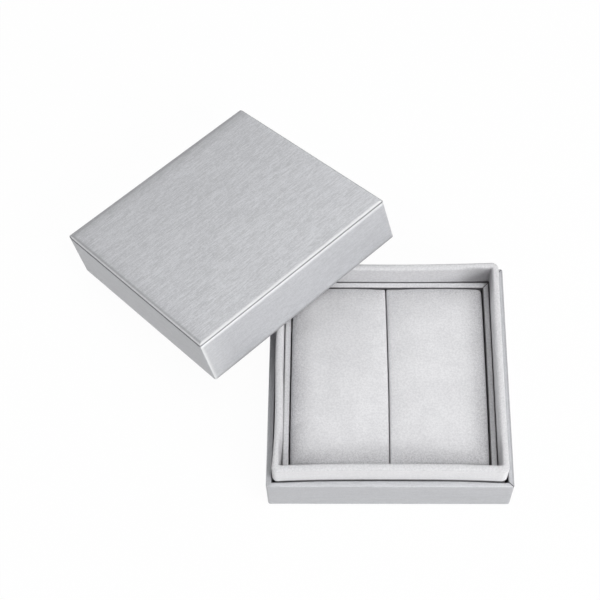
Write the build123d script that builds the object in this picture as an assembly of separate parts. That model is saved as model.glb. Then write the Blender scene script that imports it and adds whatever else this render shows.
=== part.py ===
from build123d import *
from math import asin, cos, degrees, radians, sin, sqrt
import os

# Presentation box for cufflinks: a covered tray with a suede neck (the collar), a lift-out
# insert with two pads that meet in a slit, and a lid that has been taken off and leans on
# the collar. Millimetres, +Z up, front towards -Y. The origin is the centre of the base's
# underside, on the surface that the box stands on.

# ---- Base tray and lid shell ----
box_width = 100.0  # outside width and depth of base and lid
base_height = 21.0  # surface to ledge
lid_height = 22.0  # rim to top of the lid
wall_board = 1.8  # greyboard of the walls
floor_board = 1.8  # greyboard of the base's floor
deck_board = 1.5  # greyboard across the lid, under its top panel
cover = 0.3  # brushed cover sheet
corner_radius = 0.9  # upright corners, outside
rim_radius = 0.5  # ledge of the base and rim of the lid
foot_radius = 0.6  # lower outside edge of the base
turn_in = 12.0  # width of the cover sheet's margins
fold_width = 0.18  # mitre line where two margins meet on the ledge
fold_depth = 0.2
bottom_sheet = 0.3  # paper on the underside
bottom_inset = 2.0  # from the walls' outside to the bottom sheet
stay = 0.15  # paper tape round the corners of the boards
stay_reach = 10.0  # length of each leg of the tape
stay_inset = 1.0  # from the tape's ends to the ends of the boards

# ---- Collar ----
collar_top = 32.0  # surface to the collar's top edge
collar_board = 2.0
collar_suede = 0.5
collar_gap = 0.5  # all round, between collar and ledge
collar_corner_radius = 3.0  # upright outside corners
collar_inner_radius = 0.8  # upright inside corners of the suede
collar_edge_radius = 1.3  # rounded top edge, both sides
collar_suede_reach = 22.0  # how far the suede comes down the outside

# ---- Insert ----
insert_gap = 0.3  # all round, between insert and collar, and under it
insert_drop = 12.0  # from the collar's top down to the insert's frame
insert_floor = 1.5
rail_board = 1.8
insert_suede = 0.4
insert_corner_radius = 0.8
rail_edge_radius = 0.6
mitre_width = 0.3  # open line at the frame's mitres
mitre_depth = 0.3

# ---- Pads ----
pad_gap = 0.3  # between pads and frame
slit_gap = 0.2  # between the two pads
pad_shoulder = 1.0  # from the frame's top up to the pads' highest side edge
crown_across = 1.4  # rise of the crown from side to side
crown_along = 1.8  # rise of the crown from front to rear
pad_suede = 0.5
pad_corner_radius = 2.0
pad_edge_radius = 2.0  # long edges of the pads
pad_end_radius = 3.0  # front and rear edges
pad_end_rise = 0.3  # how far the ends' rounding starts above the pads' highest side edge
foam_bevel = 1.0  # bevelled edges of the foam blocks

# ---- Lid furniture ----
panel_board = 1.2  # board of the separate top panel
panel_edge_radius = 0.7
panel_seam_radius = 0.5  # lower edge of the panel, where the seam shows
lining = 0.2  # paper on the inside of the lid's walls
lining_inset = 2.5  # from the rim to the lining
ceiling_foam = 3.0
ceiling_suede = 0.4
ceiling_gap = 0.3  # between the ceiling pad and the lining
ceiling_edge_radius = 1.0

# ---- How the lid leans ----
lid_yaw = 42.7  # degrees, lid turned on the spot
lean_reach = 29.0  # raised rim, measured in from the base's rear left corner
lean_offset = -5.1  # middle of the raised rim, measured along it from that corner
lean_gap = 0.3  # between collar and raised rim
foot_gap = 0.1  # between the surface and the lid's far edge

# ---- Modelling aids ----
through = 1.0  # how far a cutting tool runs past what it cuts
roll_margin = 1.2  # how much further the pads' crown is rolled than the pads are long

# ---- Worked out from the above ----
half = box_width / 2
ledge = wall_board + 2 * cover
board_outer = box_width - 2 * cover
board_inner = board_outer - 2 * wall_board
wall_inner = box_width - 2 * ledge
board_bottom = bottom_sheet + cover
floor_top = board_bottom + floor_board

collar_thickness = collar_board + 2 * collar_suede
collar_outer = wall_inner - 2 * collar_gap
collar_inner = collar_outer - 2 * collar_thickness

insert_outer = collar_inner - 2 * insert_gap
insert_bottom = floor_top + insert_gap
insert_top = collar_top - insert_drop
rail_outer = insert_outer - 2 * insert_suede
rail_inner = rail_outer - 2 * rail_board
frame_inner = rail_inner - 2 * insert_suede
insert_deck = insert_bottom + insert_suede + insert_floor

pad_width = (frame_inner - slit_gap) / 2 - pad_gap
pad_depth = frame_inner - 2 * pad_gap
pad_centre = (slit_gap + pad_width) / 2
pad_side_height = insert_top + pad_shoulder - insert_deck

panel_thickness = panel_board + 2 * cover
lid_wall_top = lid_height - panel_thickness
deck_top = lid_wall_top - cover
deck_bottom = deck_top - deck_board
ceiling_width = wall_inner - 2 * lining - 2 * ceiling_gap

lid_tilt = degrees(asin((collar_top + lean_gap) / (box_width - ledge)))


def block(width, depth, z_low, z_high, corner=0.0):
    """Upright block centred on the Z axis, with rounded upright corners."""
    outline = RectangleRounded(width, depth, corner) if corner > 0 else Rectangle(width, depth)
    return Pos(0, 0, z_low) * extrude(outline, amount=z_high - z_low)


def reach(edge):
    """How far the middle of an edge lies from the Z axis, along X or Y."""
    return max(abs(edge.center().X), abs(edge.center().Y))


def round_edges(solid, z, limit, outer_radius, inner_radius):
    """Round a ring's edges at height z: those outside the limit and those inside it."""
    for radius, outside in ((outer_radius, True), (inner_radius, False)):
        edges = solid.edges().filter_by_position(Axis.Z, z, z)
        chosen = edges.filter_by(lambda edge: (reach(edge) > limit) == outside)
        if radius > 0 and chosen:
            solid = fillet(chosen, radius)
    return solid


def ring(outer, inner, z_low, z_high, corner=0.0, inner_corner=0.0, top=(0, 0), foot=(0, 0)):
    """Square ring. top and foot hold the radii of its outer and inner edges there."""
    solid = block(outer, outer, z_low, z_high, corner)
    solid -= block(inner, inner, z_low - through, z_high + through, inner_corner)
    limit = (outer + inner) / 4
    solid = round_edges(solid, z_high, limit, *top)
    return round_edges(solid, z_low, limit, *foot)


def plate(width, z_low, z_high, corner, top_edge, foot_edge):
    """Square plate with rounded corners and rounded upper and lower edges."""
    solid = block(width, width, z_low, z_high, corner)
    solid = round_edges(solid, z_high, 0, top_edge, 0)
    return round_edges(solid, z_low, 0, foot_edge, 0)


def mitred_sides(square_ring, names):
    """Cut a square ring into its four sides along the diagonals, the front one first."""
    outline = make_face(Polyline((0, 0), (-box_width, -box_width), (box_width, -box_width), close=True))
    wedge = Pos(0, 0, -box_width) * extrude(outline, amount=2 * box_width)
    return {name: square_ring & (Rot(0, 0, 90 * turn) * wedge) for turn, name in enumerate(names)}


def mitre_lines(outer, width, z_low, z_high):
    """Thin upright blades across the four corners of a square, as cutting tools."""
    blade = block(width, outer * sqrt(2), z_low, z_high)
    return Rot(0, 0, 45) * blade + Rot(0, 0, -45) * blade


def corner_stays(z_low, z_high):
    """Paper tape round the four upright corners of a board frame."""
    inner = board_outer - 2 * stay
    tape_corner = corner_radius - cover
    tape = ring(board_outer, inner, z_low, z_high, tape_corner, tape_corner - stay)
    gap = board_outer - 2 * stay_reach
    return tape - block(gap, box_width, z_low, z_high) - block(box_width, gap, z_low, z_high)


def wall_frame(z_low, z_high):
    """Frame of a wall's square-cut boards, before its sides are cut apart."""
    return ring(board_outer, board_inner, z_low, z_high, corner_radius - cover)


# ---- Base ----
def base_floor():
    """Floor board, between the walls, on the cover's margin."""
    return block(board_inner, board_inner, board_bottom, floor_top)


def base_walls():
    """Four mitred wall boards and the paper tape at their corners."""
    top = base_height - cover
    tape = corner_stays(board_bottom + stay_inset, top - stay_inset)
    frame = wall_frame(board_bottom, top)
    names = [f"base_wall_board_{side}" for side in ("front", "right", "rear", "left")]
    return mitred_sides(frame - tape, names) | {"base_corner_stays": tape}


def base_wall_cover():
    """Brushed cover: outside, over the ledge, turned in above and turned under below."""
    skin = ring(box_width, wall_inner, bottom_sheet, base_height, corner_radius, 0,
                (rim_radius, rim_radius), (foot_radius, 0))
    skin -= wall_frame(board_bottom, base_height - cover)
    skin -= block(board_inner, board_inner, bottom_sheet, base_height - turn_in)
    skin += ring(board_inner, box_width - 2 * turn_in, bottom_sheet, board_bottom)
    return skin - mitre_lines(box_width, fold_width, base_height - fold_depth, base_height + through)


def base_bottom_sheet():
    """Paper on the underside, over the cover's margin and up to the floor board inside it."""
    sheet_width = box_width - 2 * bottom_inset
    window = box_width - 2 * turn_in
    return block(sheet_width, sheet_width, 0, bottom_sheet) + block(window, window, 0, board_bottom)


# ---- Collar ----
def collar_frame():
    """Board frame of the collar, on the floor board, with rounded outside corners."""
    return ring(collar_outer - 2 * collar_suede, collar_inner + 2 * collar_suede,
                floor_top, collar_top - collar_suede, collar_corner_radius - collar_suede)


def collar_boards():
    """The collar's four sides, mitred at the corners."""
    names = [f"collar_board_{side}" for side in ("front", "right", "rear", "left")]
    return mitred_sides(collar_frame(), names)


def collar_cover():
    """Suede over the collar: down the inside to the floor, and part of the way outside."""
    edges = (collar_edge_radius, collar_edge_radius)
    skin = ring(collar_outer, collar_inner, floor_top, collar_top,
                collar_corner_radius, collar_inner_radius, edges)
    middle = collar_outer - collar_thickness
    bare_outside = block(box_width, box_width, 0, collar_top - collar_suede_reach)
    bare_outside -= block(middle, middle, 0, collar_top)
    return skin - collar_frame() - bare_outside


# ---- Insert ----
def insert_rail_frame():
    """Board frame of the insert, standing on its floor, before its sides are cut apart."""
    return ring(rail_outer, rail_inner, insert_deck, insert_top - insert_suede)


def insert_rails():
    """The insert's four mitred rails."""
    names = [f"insert_rail_{side}" for side in ("front", "right", "rear", "left")]
    return mitred_sides(insert_rail_frame(), names)


def insert_floor_board():
    """Board under the pads and rails."""
    return block(rail_outer, rail_outer, insert_deck - insert_floor, insert_deck)


def insert_cover():
    """Suede over the rails, mitred at the frame's corners and turned under the floor board."""
    edges = (rail_edge_radius, rail_edge_radius)
    skin = ring(insert_outer, frame_inner, insert_deck, insert_top, insert_corner_radius, 0, edges)
    skin -= insert_rail_frame()
    skin += ring(insert_outer, insert_outer - 2 * turn_in, insert_bottom, insert_deck, insert_corner_radius)
    skin -= insert_floor_board()
    return skin - mitre_lines(insert_outer, mitre_width, insert_top - mitre_depth, insert_top + through)


# ---- Pads ----
def arc_radius(span, rise):
    """Radius of an arc of the given span and rise."""
    return (span**2 / 4 + rise**2) / (2 * rise)


def arched_outline(span, side_height, rise):
    """Outline of a block seen from one side: upright sides and an arched top."""
    low, high = -span / 2, span / 2
    arch = ThreePointArc((low, side_height), (0, side_height + rise), (high, side_height))
    sides = Polyline((high, side_height), (high, -through), (low, -through), (low, side_height))
    return make_face(sides + arch)


def shoulders(outline):
    """The two upper corners of an arched outline."""
    return outline.vertices().group_by(Axis.Y)[-1]


def rolled_block(outline, crown, length):
    """Roll an outline, seen from the front, along a shallow arch that peaks at crown."""
    axle = crown - arc_radius(length, crown_along)
    half_turn = degrees(asin(length / 2 / (crown - axle))) * roll_margin
    rolled = revolve(Plane.XZ * outline, Axis((0, 0, axle), (1, 0, 0)), 2 * half_turn)
    return Pos(0, 0, axle) * Rot(-half_turn, 0, 0) * Pos(0, 0, -axle) * rolled


def pad_block(inset, trim_long, trim_end, corner):
    """Block crowned both ways, inset all round; the trims round or bevel its upper edges."""
    width, depth = pad_width - 2 * inset, pad_depth - 2 * inset
    side_height = pad_side_height - inset
    crown = side_height + crown_across + crown_along
    across = arched_outline(width, side_height + crown_along, crown_across)
    along = arched_outline(depth, side_height + crown_across + pad_end_rise, crown_along)
    block_across = rolled_block(trim_long(shoulders(across)), crown, depth)
    block_along = extrude(Plane.YZ * trim_end(shoulders(along)), amount=width, both=True)
    return block_across & block_along & block(width, depth, 0, crown + through, corner)


def pad_envelope():
    """Outside of one upholstered pad, with rounded upper edges."""
    return pad_block(0, lambda corners: fillet(corners, pad_edge_radius),
                     lambda corners: fillet(corners, pad_end_radius), pad_corner_radius)


def pad_foam():
    """Foam block of one pad, with bevelled upper edges."""
    return pad_block(pad_suede, lambda corners: chamfer(corners, foam_bevel),
                     lambda corners: chamfer(corners, foam_bevel), pad_corner_radius - pad_suede)


def pads():
    """Foam blocks and their suede covers, left and right of the slit."""
    envelope, foam = pad_envelope(), pad_foam()
    parts = {}
    for side, way in (("left", -1), ("right", 1)):
        place = Pos(way * pad_centre, 0, insert_deck)
        parts[f"pad_foam_{side}"] = place * foam
        parts[f"pad_cover_{side}"] = place * (envelope - foam)
    return parts


# ---- Lid, in its own frame: the rim lies in the XY plane and the top faces +Z ----
def lid_frame():
    """Board frame of the lid's walls, before its sides are cut apart."""
    return wall_frame(cover, deck_top)


def lid_walls():
    """Four mitred wall boards and the paper tape at their corners; near is the raised side."""
    tape = corner_stays(cover + stay_inset, deck_top - stay_inset)
    names = [f"lid_wall_board_{side}" for side in ("near", "right", "far", "left")]
    return mitred_sides(lid_frame() - tape, names) | {"lid_corner_stays": tape}


def lid_deck_board():
    """Board that closes the top of the wall frame."""
    return block(board_inner, board_inner, deck_bottom, deck_top)


def lid_wall_cover():
    """Brushed cover: outside, turned in at the rim and over the deck."""
    skin = ring(box_width, wall_inner, 0, lid_wall_top, corner_radius, 0,
                (rim_radius, 0), (rim_radius, rim_radius))
    skin -= lid_frame()
    skin -= block(board_inner, board_inner, turn_in, lid_wall_top)
    return skin + ring(board_inner, box_width - 2 * turn_in, deck_top, lid_wall_top)


def lid_panel_board():
    """Board of the separate top panel."""
    return block(board_outer, board_outer, lid_wall_top + cover, lid_height - cover, corner_radius - cover)


def lid_panel_cover():
    """Brushed cover over the top panel, turned under it."""
    skin = plate(box_width, lid_wall_top, lid_height, corner_radius, panel_edge_radius, panel_seam_radius)
    window = box_width - 2 * turn_in
    return skin - lid_panel_board() - block(window, window, lid_wall_top, lid_wall_top + cover)


def lid_wall_lining():
    """Paper lining inside the lid's walls, over the cover's margin."""
    return ring(wall_inner, wall_inner - 2 * lining, lining_inset, deck_bottom)


def lid_ceiling():
    """Thin foam pad under the deck and the suede that wraps it."""
    z_foam = deck_bottom - ceiling_foam
    foam_width = ceiling_width - 2 * ceiling_suede
    foam = block(foam_width, foam_width, z_foam, deck_bottom)
    suede = plate(ceiling_width, z_foam - ceiling_suede, deck_bottom, ceiling_edge_radius, 0,
                  ceiling_edge_radius)
    return {"lid_ceiling_pad": foam, "lid_ceiling_cover": suede - foam}


def lean_place():
    """Where the lid leans: its raised rim over the collar, its far edge on the surface."""
    tilt, yaw = radians(lid_tilt), radians(lid_yaw)
    along = Vector(cos(yaw), sin(yaw), 0)
    inward = Vector(sin(yaw), -cos(yaw), 0)
    raised = Vector(-half, half, 0) + inward * lean_reach + along * lean_offset
    foot = raised - inward * (box_width * cos(tilt))
    rounding = rim_radius * (sin(tilt) + cos(tilt) - 1)
    on_foot = Rot(0, 0, lid_yaw) * Rot(-lid_tilt, 0, 0) * Pos(0, -half, 0)
    return Pos(foot.X, foot.Y, foot_gap - rounding) * on_foot


def lid():
    """All of the lid's pieces, leaning on the collar."""
    parts = lid_walls() | lid_ceiling()
    parts["lid_deck_board"] = lid_deck_board()
    parts["lid_wall_cover"] = lid_wall_cover()
    parts["lid_panel_board"] = lid_panel_board()
    parts["lid_panel_cover"] = lid_panel_cover()
    parts["lid_wall_lining"] = lid_wall_lining()
    place = lean_place()
    return {name: place * solid for name, solid in parts.items()}


def base():
    """All of the base's pieces, the collar among them."""
    parts = base_walls() | collar_boards()
    parts["base_floor_board"] = base_floor()
    parts["base_wall_cover"] = base_wall_cover()
    parts["base_bottom_sheet"] = base_bottom_sheet()
    parts["collar_cover"] = collar_cover()
    return parts


def insert():
    """All of the lift-out insert's pieces, the pads among them."""
    parts = insert_rails() | pads()
    parts["insert_floor_board"] = insert_floor_board()
    parts["insert_cover"] = insert_cover()
    return parts


os.makedirs("parts", exist_ok=True)
for node, shape in (base() | insert() | lid()).items():
    export_step(shape, f"parts/{node}.step")
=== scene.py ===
"""Looks for an open cufflink display box: covers, suede, crowned slit pads, studio and camera."""

import logging
import math
from dataclasses import dataclass, field
from enum import Enum
from typing import Any, Callable

import bmesh
import bpy
from mathutils import Euler, Matrix, Vector, noise


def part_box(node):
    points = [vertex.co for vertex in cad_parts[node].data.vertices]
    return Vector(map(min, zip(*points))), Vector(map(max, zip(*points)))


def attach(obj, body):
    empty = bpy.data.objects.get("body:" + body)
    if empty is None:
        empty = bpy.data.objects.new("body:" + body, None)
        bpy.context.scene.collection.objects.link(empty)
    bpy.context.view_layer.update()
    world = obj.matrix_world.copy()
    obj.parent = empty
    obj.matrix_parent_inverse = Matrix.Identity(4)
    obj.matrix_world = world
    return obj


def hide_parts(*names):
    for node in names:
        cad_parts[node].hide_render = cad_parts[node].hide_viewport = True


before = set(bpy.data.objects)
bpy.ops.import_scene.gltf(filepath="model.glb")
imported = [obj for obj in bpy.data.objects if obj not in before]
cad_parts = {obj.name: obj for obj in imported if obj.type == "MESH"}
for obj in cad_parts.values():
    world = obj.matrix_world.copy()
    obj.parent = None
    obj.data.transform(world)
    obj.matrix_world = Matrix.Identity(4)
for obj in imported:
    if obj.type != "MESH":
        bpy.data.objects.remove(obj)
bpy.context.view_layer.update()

MM = 0.001
HALF_WIDTH = 50.0  # of the box, in millimetres
CORNER_LINE = (0.2, 0.7)  # shares of a corner line's width where it is full and where it ends
NOISE_SPREAD = (0.38, 0.62)  # the range that most of a noise pattern's values lie in
WHITE = (1.0, 1.0, 1.0, 1.0)
Colour = tuple[float, float, float]
Point = tuple[float, float, float]
Pair = tuple[float, float]
BMesh = bmesh.types.BMesh
Material = bpy.types.Material
Object = bpy.types.Object
log = logging.getLogger("box")


class Grain(Enum):
    """Which way the brush marks run on a covered piece, in the piece's own frame."""

    ALONG_X = "along_x"
    ROUND_WALLS = "round_walls"


class Nap(Enum):
    """How much light and dark a suede shows where its pile has been stroked."""

    EVEN = 0.35
    STROKED = 1.0


@dataclass(frozen=True)
class Pose:
    """Where a sub-assembly's own frame lies: a point in millimetres and turns in degrees.

    The turns are about X, Y and Z, taken in that order.
    """

    origin: Point = (0.0, 0.0, 0.0)
    turn: Point = (0.0, 0.0, 0.0)

    def euler(self) -> Euler:
        """Return the turns as an Euler rotation."""
        return Euler([math.radians(angle) for angle in self.turn])

    def matrix(self) -> Matrix:
        """Return the matrix that takes the sub-assembly's frame, in metres, to the row frame."""
        return Matrix.Translation(Vector(self.origin) * MM) @ self.euler().to_matrix().to_4x4()

    def upturned(self) -> "Pose":
        """Return the same place with the up direction turned down, about the X axis."""
        return Pose(self.origin, (self.turn[0] + 180.0, self.turn[1], self.turn[2]))


LEANING_LID = Pose(origin=(-66.08, 59.90, 16.51), turn=(-19.326, 0.0, 42.7))


class Wire:
    """An output socket that takes part in Python expressions by adding Math nodes."""

    def __init__(self, bench: "Bench", socket: bpy.types.NodeSocket) -> None:
        """Wrap one output socket of a bench's node tree."""
        self.bench = bench
        self.socket = socket

    def math(self, operation: str, *others: "Wire | float") -> "Wire":
        """Run a Math node on this value.

        Args:
            operation: The Math node's operation.
            others: Its further inputs.

        Returns:
            The node's result.
        """
        return self.bench.number(operation, self, *others)

    def __add__(self, other: "Wire | float") -> "Wire":
        """Return self + other."""
        return self.math("ADD", other)

    def __sub__(self, other: "Wire | float") -> "Wire":
        """Return self - other."""
        return self.math("SUBTRACT", other)

    def __rsub__(self, other: float) -> "Wire":
        """Return other - self."""
        return self.bench.number("SUBTRACT", other, self)

    def __mul__(self, other: "Wire | float") -> "Wire":
        """Return self * other."""
        return self.math("MULTIPLY", other)

    def __gt__(self, other: "Wire | float") -> "Wire":
        """Return 1 where self is above other, and 0 elsewhere."""
        return self.math("GREATER_THAN", other)

    def __lt__(self, other: "Wire | float") -> "Wire":
        """Return 1 where self is below other, and 0 elsewhere."""
        return self.math("LESS_THAN", other)

    def __abs__(self) -> "Wire":
        """Return the size of self."""
        return self.math("ABSOLUTE")

    __radd__ = __add__
    __rmul__ = __mul__


class Bench:
    """A node tree that is being built."""

    def __init__(self, owner: Material | bpy.types.World) -> None:
        """Empty the node tree of its owner, to build in it.

        Args:
            owner: A material or a world.
        """
        owner.use_nodes = True
        self.tree = owner.node_tree
        self.tree.nodes.clear()

    def node(
        self,
        kind: str,
        settings: dict[str, Any] | None = None,
        inputs: dict[str | int, Any] | None = None,
    ) -> bpy.types.Node:
        """Add a node, set it up, then give its sockets their values or links.

        Args:
            kind: The node's type.
            settings: Its properties.
            inputs: Values or wires by socket name or number.

        Returns:
            The new node.
        """
        made = self.tree.nodes.new(kind)
        for key, value in (settings or {}).items():
            setattr(made, key, value)
        for key, value in (inputs or {}).items():
            self.plug(made.inputs[key], value)
        return made

    def plug(self, socket: bpy.types.NodeSocket, value: Any) -> None:
        """Link a wire to a socket, or set the socket's own value.

        Args:
            socket: The input socket.
            value: A wire or a plain value.
        """
        if isinstance(value, Wire):
            self.tree.links.new(value.socket, socket)
        else:
            socket.default_value = value

    def out(self, node: bpy.types.Node, which: str | int = 0) -> Wire:
        """Return one output of a node as a wire."""
        return Wire(self, node.outputs[which])

    def number(self, operation: str, *values: Wire | float) -> Wire:
        """Add a Math node and return its result."""
        made = self.node("ShaderNodeMath", {"operation": operation}, dict(enumerate(values)))
        return self.out(made)

    def split(self, at: Wire) -> tuple[Wire, Wire, Wire]:
        """Return the three parts of a set of coordinates."""
        made = self.node("ShaderNodeSeparateXYZ", inputs={0: at})
        return self.out(made, 0), self.out(made, 1), self.out(made, 2)

    def noise(self, at: Wire, scale: float = 1.0, detail: float = 2.0, rough: float = 0.5) -> Wire:
        """Add a noise pattern.

        Args:
            at: The coordinates.
            scale: How many grains there are to one of their units.
            detail: How many finer octaves are added.
            rough: How strong each finer octave is.

        Returns:
            The noise, from 0 to 1.
        """
        made = self.node(
            "ShaderNodeTexNoise",
            {"noise_dimensions": "3D"},
            {"Vector": at, "Scale": scale, "Detail": detail, "Roughness": rough},
        )
        return self.out(made, "Fac")

    def remap(
        self, value: Wire, low: float, high: float, to_low: float = 0.0, to_high: float = 1.0
    ) -> Wire:
        """Stretch a value from one range to another, smoothly and without overshoot.

        Args:
            value: The value.
            low: Where the first range starts.
            high: Where it ends.
            to_low: What the value becomes at its start and before it.
            to_high: What the value becomes at its end and past it.

        Returns:
            The new value.
        """
        made = self.node(
            "ShaderNodeMapRange",
            {"interpolation_type": "SMOOTHSTEP"},
            {
                "Value": value,
                "From Min": low,
                "From Max": high,
                "To Min": to_low,
                "To Max": to_high,
            },
        )
        return self.out(made)

    def slope(self, length: Wire, low: float, high: float, *to: float) -> Wire:
        """Return remap's result for a length in metres and a range in millimetres."""
        return self.remap(length, low * MM, high * MM, *to)

    def blend(self, share: Wire | float, first: Wire | float, second: Wire | float) -> Wire:
        """Blend two numbers.

        Args:
            share: How far the result is from the first to the second, from 0 to 1.
            first: The first number, or a wire that carries one.
            second: The second.

        Returns:
            The blended number.
        """
        made = self.node("ShaderNodeMix", {"data_type": "FLOAT"}, {0: share, 2: first, 3: second})
        return self.out(made)

    def tint(self, share: Wire | float, first: Colour | Wire, second: Colour | Wire) -> Wire:
        """Blend two colours.

        Args:
            share: How far the result is from the first to the second, from 0 to 1.
            first: The first colour, or a wire that carries one.
            second: The second.

        Returns:
            The blended colour.
        """
        colours = [value if isinstance(value, Wire) else (*value, 1.0) for value in (first, second)]
        made = self.node(
            "ShaderNodeMix", {"data_type": "RGBA"}, {0: share, 6: colours[0], 7: colours[1]}
        )
        return self.out(made, 2)

    def relief(self, height: Wire, depth: float) -> Wire:
        """Return a normal that shows a height pattern; depth is in metres."""
        made = self.node("ShaderNodeBump", inputs={"Height": height, "Distance": depth})
        return self.out(made)

    def looked_along(self) -> Wire:
        """Tell rays that are looked along from rays that light surfaces.

        Returns:
            1 for rays from the camera, in reflections and through glass, and 0 for the rest.
        """
        path = self.node("ShaderNodeLightPath")
        rays = self.out(path, "Is Camera Ray").math("MAXIMUM", self.out(path, "Is Glossy Ray"))
        return rays.math("MAXIMUM", self.out(path, "Is Transmission Ray"))


class Paint(Bench):
    """One material, built round a Principled shader, for pieces of one sub-assembly."""

    def __init__(self, name: str, pose: Pose = Pose()) -> None:
        """Make an empty material with its shader and output.

        Args:
            name: The material's name.
            pose: The frame that its patterns follow and that its pieces are square in.
        """
        self.pose = pose
        self.material = bpy.data.materials.new(name)
        super().__init__(self.material)
        self.shader = self.node("ShaderNodeBsdfPrincipled")
        surface = {"Surface": self.out(self.shader)}
        self.output = self.node("ShaderNodeOutputMaterial", inputs=surface)

    def surface(self, **values: Any) -> None:
        """Set sockets of the shader; underscores in the names stand for spaces."""
        for name, value in values.items():
            self.plug(self.shader.inputs[name.replace("_", " ")], value)

    def place(self, scale: Point = (1.0, 1.0, 1.0)) -> Wire:
        """Give coordinates in the pieces' own frame.

        Args:
            scale: How many pattern units there are to a metre along each of its axes.

        Returns:
            The coordinates.
        """
        inputs = {
            "Vector": self.out(self.node("ShaderNodeTexCoord"), "Object"),
            "Location": Vector(self.pose.origin) * MM,
            "Rotation": self.pose.euler(),
            "Scale": [1 / each for each in scale],
        }
        return self.out(self.node("ShaderNodeMapping", {"vector_type": "TEXTURE"}, inputs))

    def corner_lines(self, width: float) -> Wire:
        """Give a mask of the upright planes through opposite corners of the square pieces.

        Args:
            width: How wide the lines are, in millimetres.

        Returns:
            1 in the middle of the lines and 0 off them.
        """
        core, end = CORNER_LINE
        x, y, _ = self.split(self.place())
        across = abs(abs(x) - abs(y))
        return self.slope(across, core * width, end * width, 1.0, 0.0)


@dataclass(frozen=True)
class Band:
    """A band of lengths, in millimetres: full as far as flat from its middle, gone at its reach."""

    middle: float
    reach: float
    flat: float = 0.0
    share: float = 1.0

    def mask(self, value: Wire) -> Wire:
        """Return the share at a length in metres: full in the flat part, 0 beyond the reach."""
        off = abs(value - self.middle * MM)
        return value.bench.slope(off, self.flat, self.reach, self.share, 0.0)


@dataclass(frozen=True)
class PaintedEdgeLight:
    """Painted highlights and painted shade along the edges of a covered square piece, with a
    painted shade that deepens towards its far edge; where the highlights are painted, the sheet is
    also polished smoother.

    The heights top and seam are in millimetres in the piece's own frame. The next eight are
    shares from 0 to 1. The rest say where each mark lies, in millimetres from its own edge.
    """

    top: float
    seam: float | None = None
    # Shares of painted highlight, then of painted shade.
    highlight_near: float = 0.6
    highlight_left: float = 0.0
    highlight_wall: float = 0.0
    highlight_upright: float = 0.0
    painted_shade: float = 0.0
    shade_right: float = 0.0
    shade_rim: float = 0.0
    far_shade: float = 0.0
    top_depth: float = 0.6
    near_edge: Band = Band(0.85, 1.3)
    left_edge: Band = Band(0.65, 0.6)
    wall_drop: float = 1.2
    wall_reach: float = 1.4
    upright_edge: tuple[Band, Band] = (Band(0.0, 1.9, share=0.76), Band(0.0, 14.0, share=0.24))
    left_shade_bands: tuple[Band, Band] = (Band(1.3, 1.1, 0.2, 0.75), Band(0.0, 8.0, share=0.3))
    far_shade_bands: tuple[Band, Band] = (Band(0.0, 9.0, share=0.55), Band(0.0, 3.0, 0.8))
    right_shade_band: Band = Band(0.0, 1.0, 0.35)
    rim: Pair = (0.3, 1.8)
    seam_reach: float = 0.42
    seam_flat: float = 0.2
    seam_inset: float = 1.0
    far_shade_reach: float = 45.0

    def masks(self, paint: Paint) -> tuple[Wire, Wire, Wire]:
        """Make the masks of the painted highlights and painted shade.

        Args:
            paint: The material.

        Returns:
            Where highlights are painted, where shade is painted, and where the seam lies, which is
            painted with shade.
        """
        x, y, z = paint.split(paint.place())
        inset = HALF_WIDTH * MM - abs(x).math("MAXIMUM", abs(y))
        from_left, from_right = HALF_WIDTH * MM + x, HALF_WIDTH * MM - x
        from_far = HALF_WIDTH * MM - y
        near, left = (-1.0 * y) > abs(x), (-1.0 * x) > abs(y)
        on_top = z > (self.top - self.top_depth) * MM
        # Painted highlights: along the near and left top edges, on the near wall just under the
        # seam, and along the near-left upright edge.
        polish_and_highlight = self.near_edge.mask(inset) * on_top * near * self.highlight_near
        polish_and_highlight = polish_and_highlight + self.left_edge.mask(inset) * on_top * left * self.highlight_left
        wall = Band(self.top - self.wall_drop, self.wall_reach).mask(z)
        polish_and_highlight = polish_and_highlight + wall * near * self.highlight_wall
        sharp, wide = (band.mask(from_left) for band in self.upright_edge)
        upright = (sharp + wide) * near * (1 - on_top) * self.highlight_upright
        polish_and_highlight = polish_and_highlight.math("MAXIMUM", upright)
        # Painted shade: along the left, far and right top edges, along the foot of the near wall,
        # and deepening towards the far edge.
        sharp, wide = (band.mask(from_left) for band in self.left_shade_bands)
        painted_shade = sharp + wide
        for band in self.far_shade_bands:
            painted_shade = painted_shade.math("MAXIMUM", band.mask(from_far))
        right = self.right_shade_band.mask(from_right) * self.shade_right
        painted_shade = (painted_shade * self.painted_shade).math("MAXIMUM", right) * on_top
        rim = paint.slope(z, *self.rim, 1.0, 0.0) * near * self.shade_rim
        # Painted shade in the seam's groove.
        seam = z * 0.0
        if self.seam is not None:
            seam = Band(self.seam, self.seam_reach, self.seam_flat).mask(z)
            seam = seam * (inset < self.seam_inset * MM)
        reach = self.far_shade_reach
        far_shade = paint.slope(y, -reach, reach, 0.0, self.far_shade) * on_top
        return polish_and_highlight, painted_shade.math("MAXIMUM", rim) + far_shade, seam


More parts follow.
